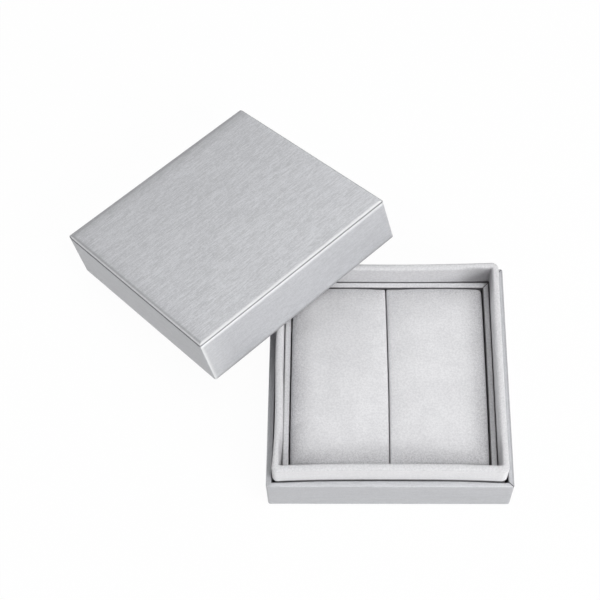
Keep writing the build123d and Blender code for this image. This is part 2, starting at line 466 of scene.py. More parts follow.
@dataclass(frozen=True)
class Ring:
    """A ring of painted shade in the gaps round a square piece, or of a painted lighter tone.
    Lengths are in millimetres.

    Where speck is given, grains of that size break the ring up: noise from the first two
    numbers of speck_range is stretched to the last two.
    """

    inner: float
    outer: float = 99.0
    floor: float = -99.0
    ceiling: float = 99.0
    fade: float = 0.2
    share: float = 0.85
    # Painted shade colour in a gap.
    tone: Colour = (0.09, 0.085, 0.09)
    speck: float | None = None
    speck_range: tuple[float, float, float, float] = (0.40, 0.66, 0.35, 2.4)
    shift: float = 0.0

    def mask(self, paint: Paint) -> Wire:
        """Make the mask of the ring.

        Args:
            paint: The material.

        Returns:
            The ring's share where it is darkest and 0 outside it.
        """
        x, y, z = paint.split(paint.place())
        half = abs(x - self.shift * MM).math("MAXIMUM", abs(y))
        inside = paint.slope(half, self.inner - self.fade, self.inner, 0.0, self.share)
        inside = inside * paint.slope(half, self.outer, self.outer + self.fade, 1.0, 0.0)
        inside = inside * paint.slope(z, self.floor - self.fade, self.floor)
        if self.speck is not None:
            specks = paint.noise(paint.place(), 1 / (self.speck * MM), rough=0.6)
            inside = inside * paint.remap(specks, *self.speck_range)
        return inside * paint.slope(z, self.ceiling, self.ceiling + self.fade, 1.0, 0.0)


@dataclass(frozen=True)
class BrushedSheet:
    """Silver-grey leather-paper with fine brush marks. Lengths are in millimetres."""

    dark: Colour = (0.445, 0.451, 0.472)
    light: Colour = (0.548, 0.555, 0.577)
    mark_length: float = 4.2
    mark_width: float = 0.34
    crinkle: float = 0.6
    crinkle_share: float = 0.32
    streak_length: float = 22.0
    streak_width: float = 1.9
    streak_share: float = 0.22
    mark_depth: float = 0.03
    shine: float = 0.14
    roughness: Pair = (0.38, 0.50)
    fold_width: float = 0.5
    fold_drop: float = 0.4
    # Painted colours: shade in gaps, folds and the seam (with the depth of their groove in the
    # relief), the highlight along the edges, and the shade along the edges; then the roughness
    # where the edges are polished.
    gap_shade: Colour = (0.10, 0.10, 0.11)
    crease_depth: float = 4.0
    polish_and_highlight: Colour = (0.93, 0.935, 0.94)
    painted_shade: Colour = (0.20, 0.20, 0.21)
    rubbed_roughness: float = 0.28

    def make(
        self,
        name: str,
        pose: Pose,
        grain: Grain,
        painted_edge_light: PaintedEdgeLight,
        ledge: float | None = None,
        rings: tuple[Ring, ...] = (),
    ) -> Material:
        """Make the material.

        Args:
            name: The material's name.
            pose: The frame that the marks follow.
            grain: Which way they run.
            painted_edge_light: Where highlights and shade are painted along the edges.
            ledge: The height in millimetres of a ledge with corner folds, if there is one.
            rings: The gaps that the sheet runs down into, where shade is painted.

        Returns:
            The material.
        """
        paint = Paint(name, pose)
        marks = self._marks(paint, grain, self.mark_length, self.mark_width)
        streaks = self._marks(paint, grain, self.streak_length, self.streak_width)
        shade = marks * (1 - self.streak_share) + streaks * self.streak_share
        shade = paint.remap(shade, *NOISE_SPREAD)
        colour = paint.tint(shade, self.dark, self.light)
        # Painted highlights and painted shade along the edges, then painted shade in the seam, the
        # ledge's folds and the gaps.
        polish_and_highlight, painted_shade, seam = painted_edge_light.masks(paint)
        colour = paint.tint(polish_and_highlight, paint.tint(painted_shade, colour, self.painted_shade), self.polish_and_highlight)
        if ledge is not None:
            seam = seam.math("MAXIMUM", self._folds(paint, ledge))
        for ring in rings:
            seam = seam.math("MAXIMUM", ring.mask(paint))
        colour = paint.tint(seam, colour, self.gap_shade)
        matt = paint.remap(marks, *NOISE_SPREAD, *self.roughness)
        paint.surface(
            Base_Color=colour,
            # Where the highlights are painted, the sheet is also polished to a lower roughness.
            Roughness=paint.blend(polish_and_highlight, matt, self.rubbed_roughness),
            Metallic=self.shine,
            Normal=paint.relief(marks - seam * self.crease_depth, self.mark_depth * MM),
        )
        return paint.material

    def _folds(self, paint: Paint, ledge: float) -> Wire:
        """Give a mask of painted shade in the folds that cross the ledge at the two right-hand
        corners, whose groove is also cut into the relief.

        Args:
            paint: The material.
            ledge: How high the ledge is.

        Returns:
            1 in the folds and 0 elsewhere.
        """
        x, _, z = paint.split(paint.place())
        on_ledge = z > (ledge - self.fold_drop) * MM
        return paint.corner_lines(self.fold_width) * on_ledge * (x > 0.0)

    def _marks(self, paint: Paint, grain: Grain, long: float, wide: float) -> Wire:
        """Make brush marks.

        Args:
            paint: The material.
            grain: Which way they run.
            long: How long they are.
            wide: How wide they are.

        Returns:
            The marks, from 0 to 1.
        """
        one = self._strokes(paint, (long, wide, wide))
        if grain is Grain.ALONG_X:
            return one
        other = self._strokes(paint, (wide, long, wide))
        x, y, _ = paint.split(paint.place())
        return paint.blend(abs(x) > abs(y), one, other)

    def _strokes(self, paint: Paint, size: Point) -> Wire:
        """Make strokes with fine crinkles over them.

        Args:
            paint: The material.
            size: How long the strokes are along each axis.

        Returns:
            The strokes, from 0 to 1.
        """
        stretched = paint.place(tuple(1 / (side * MM) for side in size))
        long = paint.noise(stretched, detail=3.0, rough=0.6)
        short = paint.noise(paint.place(), 1 / (self.crinkle * MM))
        return long * (1 - self.crinkle_share) + short * self.crinkle_share


@dataclass(frozen=True)
class Suede:
    """Pale, short-piled microfibre suede. Lengths are in millimetres."""

    dark: Colour = (0.602, 0.601, 0.617)
    light: Colour = (0.750, 0.749, 0.763)
    fibre: float = 0.22
    fibre_share: float = 0.45
    speckle: float = 0.8
    speckle_height: float = 0.6
    spread: Pair = (0.36, 0.64)
    contrast: float = 0.86
    stroke: float = 9.0
    stroke_share: float = 0.20
    pile: float = 0.05
    sheen: float = 0.25
    sheen_roughness: float = 0.45
    specular: float = 0.15
    roughness: float = 0.95
    mitre_width: float = 0.5
    mitre_depth: float = 3.0
    # Painted shade colours: in mitre gaps and rings, and in the well's upright corners, with how
    # far that corner shade reaches.
    gap_shade: Colour = (0.09, 0.085, 0.09)
    corner_shade: Colour = (0.24, 0.235, 0.25)
    corner_shade_share: float = 0.55
    corner_shade_reach: float = 17.0
    corner_shade_full: float = 4.0
    corner_shade_face: Pair = (0.2, 1.0)

    def make(
        self,
        name: str,
        pose: Pose,
        nap: Nap,
        mitred_above: float | None = None,
        shaded_corners_within: float | None = None,
        rings: tuple[Ring, ...] = (),
    ) -> Material:
        """Make the material.

        Args:
            name: The material's name.
            pose: The frame that the nap follows.
            nap: How strongly the pile shows where it was stroked.
            mitred_above: The height in millimetres above which mitres show, with painted shade in
                them, if there are any.
            shaded_corners_within: Half the width in millimetres of a square well whose upright
                corners get painted shade, if there is one.
            rings: The rings of painted shade in gaps, or of a painted lighter tone.

        Returns:
            The material.
        """
        paint = Paint(name, pose)
        at = paint.place()
        fibres = paint.noise(at, 1 / (self.fibre * MM), rough=0.6)
        speckle = paint.noise(at, 1 / (self.speckle * MM), detail=3.0, rough=0.6)
        strokes = paint.noise(at, 1 / (self.stroke * MM), detail=3.0)
        swept = paint.remap(strokes, *NOISE_SPREAD, -0.5, 0.5) * nap.value * self.stroke_share
        grain = fibres * self.fibre_share + speckle * (1 - self.fibre_share)
        shade = paint.remap(grain, *self.spread) * self.contrast
        shade = shade + (1 - self.contrast) / 2
        colour = paint.tint(shade + swept, self.dark, self.light)
        height = fibres + speckle * self.speckle_height
        # Painted shade in the mitre gaps, which are also grooved in the relief.
        if mitred_above is not None:
            mitre = paint.corner_lines(self.mitre_width)
            mitre = mitre * (paint.split(at)[2] > mitred_above * MM)
            colour = paint.tint(mitre, colour, self.gap_shade)
            height = height - mitre * self.mitre_depth
        # Painted shade in the well's upright corners.
        if shaded_corners_within is not None:
            corner_shade = self._corner_shade(paint, shaded_corners_within)
            colour = paint.tint(corner_shade, colour, self.corner_shade)
        # Rings of painted shade in gaps, or of a painted lighter tone.
        for ring in rings:
            colour = paint.tint(ring.mask(paint), colour, ring.tone)
        paint.surface(
            Base_Color=colour,
            Roughness=self.roughness,
            Sheen_Weight=self.sheen,
            Sheen_Roughness=self.sheen_roughness,
            Specular_IOR_Level=self.specular,
            Normal=paint.relief(height, self.pile * MM),
        )
        return paint.material

    def _corner_shade(self, paint: Paint, well: float) -> Wire:
        """Give a mask of painted shade in the upright corners of a square well.

        Args:
            paint: The material.
            well: Half its width.

        Returns:
            The share of the painted shade.
        """
        x, y, _ = paint.split(paint.place())
        long, short = abs(x).math("MAXIMUM", abs(y)), abs(x).math("MINIMUM", abs(y))
        start, end = (well + past for past in self.corner_shade_face)
        low, full = well - self.corner_shade_reach, well - self.corner_shade_full
        corner = paint.slope(short, low, full, 0.0, self.corner_shade_share)
        return paint.slope(long, start, end, 1.0, 0.0) * corner


@dataclass(frozen=True)
class PaperStock:
    """Board, tape, lining or sheet: pulp with flecks and a faint tooth. Lengths in millimetres."""

    tone: Colour
    fleck: Colour
    fleck_size: float = 0.8
    spread: Pair = (0.42, 0.72)
    tooth: float = 0.02
    tooth_size: float = 0.2
    roughness: float = 0.85

    def make(self, name: str, pose: Pose) -> Material:
        """Make the material.

        Args:
            name: The material's name.
            pose: The frame that the flecks lie in.

        Returns:
            The material.
        """
        paint = Paint(name, pose)
        at = paint.place()
        flecks = paint.noise(at, 1 / (self.fleck_size * MM), detail=4.0, rough=0.65)
        tooth = paint.noise(at, 1 / (self.tooth_size * MM))
        flecks = paint.remap(flecks, *self.spread)
        paint.surface(
            Base_Color=paint.tint(flecks, self.tone, self.fleck),
            Roughness=self.roughness,
            Normal=paint.relief(tooth, self.tooth * MM),
        )
        return paint.material


BRUSHED = BrushedSheet()
BRUSHED_TOP = BrushedSheet(dark=(0.430, 0.436, 0.456), light=(0.616, 0.623, 0.647))
# A darker copy of the same sheet: painted shade on the tray.
BRUSHED_TRAY_SHADED = BrushedSheet(dark=(0.425, 0.430, 0.450), light=(0.520, 0.526, 0.547))
# Painted highlights and painted shade along the edges of the tray and of the lid.
TRAY_EDGE_LIGHT = PaintedEdgeLight(top=21.0, highlight_near=0.15, painted_shade=0.3, shade_right=0.4)
LID_EDGE_LIGHT = PaintedEdgeLight(
    top=22.0,
    seam=21.5,
    highlight_near=0.64,
    highlight_left=0.32,
    highlight_wall=0.52,
    highlight_upright=0.78,
    painted_shade=0.55,
    shade_rim=0.6,
    far_shade=0.12,
)
SUEDE = Suede()
PAD_SUEDE = Suede(dark=(0.635, 0.634, 0.65), light=(0.79, 0.789, 0.803))
GREYBOARD = PaperStock(tone=(0.36, 0.35, 0.33), fleck=(0.47, 0.46, 0.44))
STAY_PAPER = PaperStock(tone=(0.66, 0.60, 0.49), fleck=(0.75, 0.70, 0.60))
BOTTOM_PAPER = PaperStock(tone=(0.26, 0.26, 0.28), fleck=(0.33, 0.33, 0.35))
LINING_PAPER = PaperStock(tone=(0.62, 0.62, 0.64), fleck=(0.69, 0.69, 0.71))


def dress(material: Material, *names: str) -> None:
    """Give CAD nodes a material in place of the ones they came with.

    Args:
        material: The material.
        names: The nodes' names.
    """
    for name in names:
        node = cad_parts[name]
        node.data.materials.clear()
        node.data.materials.append(material)


def finish_piece(obj: Object, material: Material, body: str, slot: str, *nodes: str) -> None:
    """Give a new piece its finish and its place in the assembly.

    Args:
        obj: The piece.
        material: Its material.
        body: The body that it moves with.
        slot: Its material slot; not used.
        nodes: The CAD nodes that it stands for.
    """
    obj.data.materials.append(material)
    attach(obj, body)
    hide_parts(*nodes)


def show(name: str, shell: BMesh) -> Object:
    """Put a finished bmesh into the scene.

    Args:
        name: The name of the object and of its mesh.
        shell: The bmesh, which is freed.

    Returns:
        The new object.
    """
    mesh = bpy.data.meshes.new(name)
    shell.to_mesh(mesh)
    shell.free()
    obj = bpy.data.objects.new(name, mesh)
    bpy.context.scene.collection.objects.link(obj)
    return obj


def ease(share: float) -> float:
    """Ease a share in and out, between 0 and 1."""
    share = min(1.0, max(0.0, share))
    return share * share * (3 - 2 * share)


@dataclass
class Reshaping:
    """Copies of CAD pieces that are cut across and moved point by point.

    Lengths are in millimetres in the sub-assembly's own frame.
    """

    prefix: str
    pose: Pose
    places: tuple[float, ...]
    heights: tuple[float, ...]
    move: Callable[[Vector], Vector]
    sharp_angle: float = 32.0
    merge: float = 0.001
    cut_merge: float = 0.004

    def copy(self, node: str) -> Object:
        """Copy a CAD node, reshaped.

        Args:
            node: The node's name.

        Returns:
            The reshaped copy, with its place in its mesh.
        """
        shell = bmesh.new()
        shell.from_mesh(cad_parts[node].data)
        bmesh.ops.remove_doubles(shell, verts=shell.verts, dist=self.merge * MM)
        shell.transform(self.pose.matrix().inverted())
        self._cut(shell)
        for vertex in shell.verts:
            vertex.co += self.move(vertex.co / MM) * MM
        shell.transform(self.pose.matrix())
        for edge in shell.edges:
            edge.smooth = edge.calc_face_angle(0.0) < math.radians(self.sharp_angle)
        for face in shell.faces:
            face.smooth = True
        obj = show(f"{self.prefix}_{node}", shell)
        even = obj.modifiers.new("even", "WEIGHTED_NORMAL")
        even.keep_sharp = True
        return obj

    def swap(self, material: Material, body: str, slot: str, *nodes: str) -> None:
        """Put reshaped copies in the place of CAD nodes.

        Args:
            material: The copies' material.
            body: The body that they move with.
            slot: Their material slot; passed on but not used.
            nodes: The nodes' names.
        """
        for node in nodes:
            finish_piece(self.copy(node), material, body, slot, node)

    def _cut(self, shell: BMesh) -> None:
        """Cut a shell across X and Y at each place, on both sides, and across Z at each height.

        Args:
            shell: The shell, in metres in the sub-assembly's own frame.
        """
        cuts = [(Vector((0, 0, height)), Vector((0, 0, 1))) for height in self.heights]
        for place in {*self.places, *(-place for place in self.places)}:
            cuts.append((Vector((place, 0, 0)), Vector((1, 0, 0))))
            cuts.append((Vector((0, place, 0)), Vector((0, 1, 0))))
        for point, normal in cuts:
            bmesh.ops.bisect_plane(
                shell,
                geom=[*shell.verts, *shell.edges, *shell.faces],
                dist=self.merge * MM,
                plane_co=point * MM,
                plane_no=normal,
            )
        bmesh.ops.remove_doubles(shell, verts=shell.verts, dist=self.cut_merge * MM)
        bmesh.ops.dissolve_degenerate(shell, dist=self.cut_merge * MM, edges=shell.edges)
        bmesh.ops.recalc_face_normals(shell, faces=shell.faces)


@dataclass
class Cushion:
    """An upholstered block, swollen by a cloth simulation and pressed flat by its neighbours.

    Lengths are in millimetres. The block fills the space between two corners in its own
    frame, crown included, and is worked enlarged, because cloth behaves well at about a metre.
    The crown is how far the top rises across and along it, and the room is what stays free at
    its sides. The slit is on its right where slit_side is 1, on its left where it is -1, and
    there is none where it is 0.
    """

    name: str
    low: Vector
    high: Vector
    pose: Pose = Pose()
    crown: Pair = (1.4, 2.0)
    shoulder: float = 3.2
    corner: float = 1.3
    corner_steps: int = 4
    edge: float = 2.2
    edge_steps: int = 5
    room: float = 0.22
    side_hold: float = 6.0
    slit_edge: float = 0.5
    slit_side: int = 0
    slit_bend: float = 0.7
    slit_bend_from: float = -14.0
    slit_bend_span: float = 50.0
    slit_bend_reach: float = 8.0
    slit_bend_power: float = 1.3
    slit_power: float = 2.0
    start_inset: float = 0.25
    swell: float = 0.55
    voxel: float = 0.95
    dimple: float = 0.05
    dimple_spacing: float = 11.0
    seed: float = 0.0
    enlarge: float = 20.0
    pressure: float = 4.0
    cloth_steps: int = 6
    cloth_mass: float = 0.15
    stretch_stiffness: float = 20.0
    bend_stiffness: float = 3.0
    frames: int = 20

    def build(self) -> Object:
        """Build the cushion.

        Returns:
            The finished object, at the origin with its place in its mesh.
        """
        obj = self._block()
        remesh = obj.modifiers.new("remesh", "REMESH")
        remesh.mode = "VOXEL"
        remesh.voxel_size = self.voxel * MM * self.enlarge
        self._apply(obj, remesh)
        self._shape(obj)
        before = [vertex.co.copy() for vertex in obj.data.vertices]
        self._inflate(obj)
        self._press(obj, before)
        obj.data.transform(self.pose.matrix() @ Matrix.Scale(1 / self.enlarge, 4))
        soften = obj.modifiers.new("soften", "SUBSURF")
        soften.levels = soften.render_levels = 1
        return obj

    def _size(self) -> Vector:
        """Work out the block under the crown.

        Returns:
            Its width, depth and height, enlarged, in metres.
        """
        size = self.high - self.low
        size.z -= sum(self.crown)
        return (size - Vector((2, 2, 1)) * self.start_inset) * MM * self.enlarge

    def _block(self) -> Object:
        """Make the flat-topped block with rounded corners and upper edges.

        Returns:
            The block, enlarged.
        """
        unit = MM * self.enlarge
        size = self._size()
        shell = bmesh.new()
        bmesh.ops.create_cube(shell, size=1.0)
        bmesh.ops.scale(shell, vec=size, verts=shell.verts)
        middle = (self.low + self.high) / 2 * unit
        base = Vector((middle.x, middle.y, self.low.z * unit + size.z / 2))
        bmesh.ops.translate(shell, vec=base, verts=shell.verts)
        uprights = [edge for edge in shell.edges if edge.verts[0].co.xy == edge.verts[1].co.xy]
        self._round(shell, uprights, self.corner * unit, self.corner_steps)
        top = max(vertex.co.z for vertex in shell.verts) - self.start_inset * unit
        rim = [edge for edge in shell.edges if all(vertex.co.z > top for vertex in edge.verts)]
        self._round(shell, rim, self.edge * unit, self.edge_steps)
        bmesh.ops.recalc_face_normals(shell, faces=shell.faces)
        return show(self.name, shell)

    @staticmethod
    def _round(shell: BMesh, edges: list[bmesh.types.BMEdge], radius: float, segments: int) -> None:
        """Round edges of a shell.

        Args:
            shell: The shell.
            edges: The edges.
            radius: Their radius, in the shell's own units.
            segments: How many faces there are across each rounding.
        """
        bmesh.ops.bevel(
            shell,
            geom=edges,
            offset=radius,
            segments=segments,
            affect="EDGES",
            profile=0.5,
            material=-1,
        )

    @staticmethod
    def _apply(obj: Object, modifier: bpy.types.Modifier) -> None:
        """Apply a modifier to its object's mesh, in place.

        Args:
            obj: The object.
            modifier: Its modifier, which is removed.
        """
        graph = bpy.context.evaluated_depsgraph_get()
        mesh = bpy.data.meshes.new_from_object(obj.evaluated_get(graph))
        mesh.name = obj.data.name
        obj.modifiers.remove(modifier)
        old, obj.data = obj.data, mesh
        bpy.data.meshes.remove(old)

    def _shape(self, obj: Object) -> None:
        """Raise the crown, tighten the edge at the slit and add faint dimples.

        Args:
            obj: The remade block, enlarged.
        """
        unit = MM * self.enlarge
        size, middle = self._size(), (self.low + self.high) / 2 * unit
        bottom = self.low.z * unit
        top = bottom + size.z
        for vertex in obj.data.vertices:
            place = vertex.co
            share = max(0.0, (place.z - bottom) / (top - bottom)) ** 2
            across = max(-1.0, min(1.0, (place.x - middle.x) / (size.x / 2)))
            along = min(1.0, abs(place.y - middle.y) / (size.y / 2))
            power = self.slit_power if across * self.slit_side > 0 else self.shoulder
            rise = self.crown[0] * (1 - abs(across) ** power)
            rise += self.crown[1] * (1 - along**self.shoulder)
            grid = unit * self.dimple_spacing
            ripple = noise.noise(Vector((place.x / grid, place.y / grid, self.seed)))
            place.z += share * (rise + self.dimple * ripple) * unit
            self._tighten(place, middle.x + self.slit_side * size.x / 2, unit)

    def _tighten(self, place: Vector, slit: float, unit: float) -> None:
        """Draw the rounding beside the slit in to its own, smaller radius.

        Args:
            place: The point to move, enlarged.
            slit: Where the slit lies across, enlarged.
            unit: How long an enlarged millimetre is.
        """
        if not self.slit_side:
            return
        gap = abs(slit - place.x) / unit
        if gap < 2 * self.edge:
            ratio = self.slit_edge / self.edge
            far = max(0.0, gap - self.edge)
            squeezed = ratio * min(gap, self.edge) + (2 - ratio) * far
            closing = self.start_inset * (1 - gap / (2 * self.edge))
            place.x = slit - self.slit_side * (squeezed - closing) * unit

    def _inflate(self, obj: Object) -> None:
        """Swell the cushion with a cloth simulation under pressure, with no gravity.

        Args:
            obj: The shaped block, enlarged.
        """
        scene = bpy.context.scene
        cloth = obj.modifiers.new("cloth", "CLOTH")
        settings = cloth.settings
        settings.quality = self.cloth_steps
        settings.mass = self.cloth_mass
        settings.tension_stiffness = self.stretch_stiffness
        settings.compression_stiffness = self.stretch_stiffness
        settings.bending_stiffness = self.bend_stiffness
        settings.use_pressure = True
        settings.uniform_pressure_force = self.pressure
        settings.effector_weights.gravity = 0.0
        cloth.collision_settings.use_collision = False
        cloth.point_cache.frame_start = 1
        cloth.point_cache.frame_end = self.frames
        for step in range(1, self.frames + 1):
            scene.frame_set(step)
        self._apply(obj, cloth)
        scene.frame_set(1)

    def _press(self, obj: Object, before: list[Vector]) -> None:
        """Cap how far each point moved and hold it inside the room that its neighbours leave.

        Args:
            obj: The swollen block, enlarged.
            before: Where its points were before it swelled.
        """
        unit = MM * self.enlarge
        cap = self.swell * unit
        margins = Vector((self.room, self.room, 0.0)), Vector((self.room, self.room, 0.0))
        if self.slit_side:
            margins[1 if self.slit_side > 0 else 0].x = 0.0
        low, high = (self.low + margins[0]) * unit, (self.high - margins[1]) * unit
        for vertex, start in zip(obj.data.vertices, before):
            move = vertex.co - start
            if move.length > cap:
                vertex.co = start + move * (cap / move.length)
            for axis in (0, 1):
                margin = min(start[axis] - low[axis], high[axis] - start[axis]) / unit
                hold = 1 - ease(margin / self.side_hold)
                vertex.co[axis] += (start[axis] - vertex.co[axis]) * hold
            vertex.co = Vector(
                min(max(value, least), most) for value, least, most in zip(vertex.co, low, high)
            )
            vertex.co.x -= self._bend(vertex.co / unit) * unit
        for polygon in obj.data.polygons:
            polygon.use_smooth = True

    def _bend(self, place: Vector) -> float:
        """Give how far the slit's bend takes a point to the left.

        Args:
            place: The point, in millimetres.

        Returns:
            The way to the left, in millimetres.
        """
        slit = self.high.x if self.slit_side > 0 else self.low.x
        close = 1 - ease(abs(place.x - slit) / self.slit_bend_reach) if self.slit_side else 0.0
        along = max(0.0, place.y - self.slit_bend_from) / self.slit_bend_span
        return self.slit_bend * close * along**self.slit_bend_power


@dataclass(frozen=True)
class Bow:
    """How one wall bows: in at its middle and out at its corners, in millimetres."""

    middle: float
    corner: float
    power: float = 4.0
    lean: float = 0.0

    def at(self, along: float) -> float:
        """Return how far the wall is in.

        Args:
            along: The place on the wall, from -1 at its front or left end to 1 at the other.

        Returns:
            The way in, below 0 where the wall bows out.
        """
        span = min(1.0, abs(along))
        lean = self.lean * max(0.0, -along) * (1 - span * span)
        return self.middle - (self.middle + self.corner) * span**self.power + lean


@dataclass
class BaseTray:
    """The covered tray and its suede collar. Lengths are in millimetres."""

    body: str = "base"
    sides: tuple[str, ...] = ("front", "right", "rear", "left")
    place: Pose = Pose()
    ledge_inner: float = 47.8
    ledge_outer: float = 49.2
    ledge_foot: float = 16.0
    ledge_full: float = 19.5
    ledge_heights: tuple[float, ...] = (16.0, 18.0, 19.5)
    well: float = 44.1
    # Painted shade in the gap at the ledge, a painted lighter tone on the collar's outer face, and
    # painted shade at the collar's outer foot and at the foot of its well.
    ledge_gap: Ring = Ring(40.0, 47.3, fade=0.3)
    collar_face: Ring = Ring(46.4, ceiling=30.4, fade=0.8, share=0.4, tone=(0.86, 0.86, 0.87))
    collar_foot: Ring = Ring(46.0, ceiling=21.0, fade=0.35)
    well_foot: Ring = Ring(40.0, 45.0, 19.2, 20.3)
    bow_foot: float = 19.4
    bow_full: float = 21.3
    bow_corner: float = 44.0
    bow_blend: float = 39.0
    bow: dict[str, Bow] = field(
        default_factory=lambda: {
            "front": Bow(0.35, 0.42, 3.0),
            "right": Bow(0.1, 0.1),
            "rear": Bow(0.6, 0.36, 2.0),
            "left": Bow(0.15, 0.15, lean=1.2),
        }
    )
    ledge_bow: dict[str, Bow] = field(
        default_factory=lambda: {
            "front": Bow(0.4, 0.4, 3.0),
            "right": Bow(0.1, 0.1),
            "rear": Bow(0.2, 0.2, 2.0),
            "left": Bow(0.2, 0.2),
        }
    )
    corner_fill_left: float = 0.45
    corner_fill_right: float = 0.225
    corner_fill_from: float = 43.5
    corner_fill_full: float = 46.0
    cut_places: tuple[float, ...] = (0.0, 6.0, 12.0, 18.0, 24.0, 29.0, 33.0, 37.0, 40.0, 42.5)
    cut_heights: tuple[float, ...] = (19.4, 20.2, 21.0, 22.0, 26.0, 30.2)

    def dress(self) -> None:
        """Give every piece of the tray its finish and bend the collar."""
        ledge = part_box("base_wall_cover")[1].z / MM
        sheet = BRUSHED_TRAY_SHADED.make(
            "tray_sheet", self.place, Grain.ROUND_WALLS, TRAY_EDGE_LIGHT, ledge, (self.ledge_gap,)
        )
        bowed = Reshaping("bowed", self.place, self.cut_places, self.ledge_heights, self._bulge)
        bowed.swap(sheet, self.body, "brushed_cover", "base_wall_cover")
        board = GREYBOARD.make("tray_board", self.place)
        dress(board, "base_floor_board")
        walls = (f"base_wall_board_{side}" for side in self.sides)
        bowed.swap(board, self.body, "greyboard", *walls)
        suede = SUEDE.make(
            "collar_suede",
            self.place,
            Nap.EVEN,
            shaded_corners_within=self.well,
            rings=(self.collar_face, self.collar_foot, self.well_foot),
        )
        bent = Reshaping("bent", self.place, self.cut_places, self.cut_heights, self._bend)
        bent.swap(suede, self.body, "suede", "collar_cover")
        walls = (f"collar_board_{side}" for side in self.sides)
        bent.swap(board, self.body, "greyboard", *walls)
        dress(STAY_PAPER.make("tray_tape", self.place), "base_corner_stays")
        dress(BOTTOM_PAPER.make("tray_underside", self.place), "base_bottom_sheet")
        log.info("base tray dressed")

    def _bend(self, spot: Vector) -> Vector:
        """Give how far a point of the collar moves.

        Args:
            spot: The point, in millimetres.

        Returns:
            The move, in millimetres.
        """
        up = ease((spot.z - self.bow_foot) / (self.bow_full - self.bow_foot))
        blend = self.bow_corner - self.bow_blend
        walls = [ease((abs(place) - self.bow_blend) / blend) * up for place in spot.xy]
        move = self._bowed(spot, self.bow, walls)
        if spot.y < 0:
            deep = min(abs(spot.x), abs(spot.y)) - self.corner_fill_from
            fill = self.corner_fill_left if spot.x < 0 else self.corner_fill_right
            fill *= ease(deep / (self.corner_fill_full - self.corner_fill_from)) * up
            move += Vector((math.copysign(fill, spot.x), -fill, 0.0))
        return move

    def _bulge(self, spot: Vector) -> Vector:
        """Give how far a point of the tray's cover and walls moves.

        Args:
            spot: The point, in millimetres.

        Returns:
            The move, in millimetres.
        """
        up = ease((spot.z - self.ledge_foot) / (self.ledge_full - self.ledge_foot))
        walls = []
        for out in map(abs, spot.xy):
            inner = 1 - ease((out - self.ledge_inner) / (self.ledge_outer - self.ledge_inner))
            walls.append(inner * ease(out - self.bow_corner) * up)
        return self._bowed(spot, self.ledge_bow, walls)

    def _bowed(self, spot: Vector, bows: dict[str, Bow], walls: list[float]) -> Vector:
        """Add up what the bows of the walls nearest to a point do to it.

        Args:
            spot: The point, in millimetres.
            bows: The four walls' bows.
            walls: How far the point belongs to the walls across X and across Y, from 0 to 1.

        Returns:
            The move, in millimetres.
        """
        move = Vector()
        for axis, low, high in ((0, "left", "right"), (1, "front", "rear")):
            bow = bows[high if spot[axis] > 0 else low]
            inward = bow.at(spot[1 - axis] / self.bow_corner) * walls[axis]
            move[axis] = -math.copysign(1.0, spot[axis]) * inward
        return move


@dataclass
class PadInsert:
    """The lift-out frame with its two suede pads. Lengths are in millimetres."""

    body: str = "insert"
    sides: tuple[str, ...] = ("front", "right", "rear", "left")
    place: Pose = Pose()
    # Painted shade in the gaps: on the frame's inner wall, along its outer top edge, more of it on
    # the left, and at the pads' edges.
    inside: Ring = Ring(40.0, 41.3, fade=0.15, shift=0.15)
    outside: Ring = Ring(43.75, floor=19.3, fade=0.12)
    outside_left: Ring = Ring(43.75, floor=19.3, fade=0.25, share=0.5, shift=0.4)
    pad_edge_left: Ring = Ring(40.85, fade=0.2, share=0.3)
    pad_edge_right: Ring = Ring(40.7, fade=0.3, shift=0.14)
    mitre_drop: float = 0.4
    room_left: float = 0.08
    room_right: float = 0.12
    seed: float = 3.0
    # Painted shade spreading in from the pads' edges, broken by specks.
    pad_border: Ring = Ring(42.0, fade=13.0, share=0.17, tone=(0.24, 0.235, 0.25), speck=0.5)

    def dress(self) -> None:
        """Give the frame its finish and build both pads."""
        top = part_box("insert_cover")[1].z / MM
        suede = PAD_SUEDE.make(
            "frame_suede",
            self.place,
            Nap.EVEN,
            top - self.mitre_drop,
            rings=(self.inside, self.outside, self.outside_left),
        )
        dress(suede, "insert_cover")
        board = GREYBOARD.make("insert_board", self.place)
        dress(board, "insert_floor_board", *(f"insert_rail_{side}" for side in self.sides))
        self._pad("left", 1, self.room_left, self.pad_edge_left)
        self._pad("right", -1, self.room_right, self.pad_edge_right)

    def _pad(self, side: str, slit_side: int, room: float, edge: Ring) -> None:
        """Build one pad in the space of its CAD solids.

        Args:
            side: Which pad, left or right.
            slit_side: 1 where its slit is on its right and -1 where it is on its left.
            room: What it leaves free at its sides, in millimetres.
            edge: The dark ring at its edge.
        """
        low, high = (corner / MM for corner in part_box(f"pad_cover_{side}"))
        seed = self.seed + slit_side
        pad = Cushion(f"pad_{side}", low, high, slit_side=slit_side, room=room, seed=seed).build()
        suede = PAD_SUEDE.make(
            f"pad_suede_{side}", self.place, Nap.STROKED, rings=(self.pad_border, edge)
        )
        finish_piece(pad, suede, self.body, "suede", f"pad_cover_{side}", f"pad_foam_{side}")
        log.info("pad %s built", side)


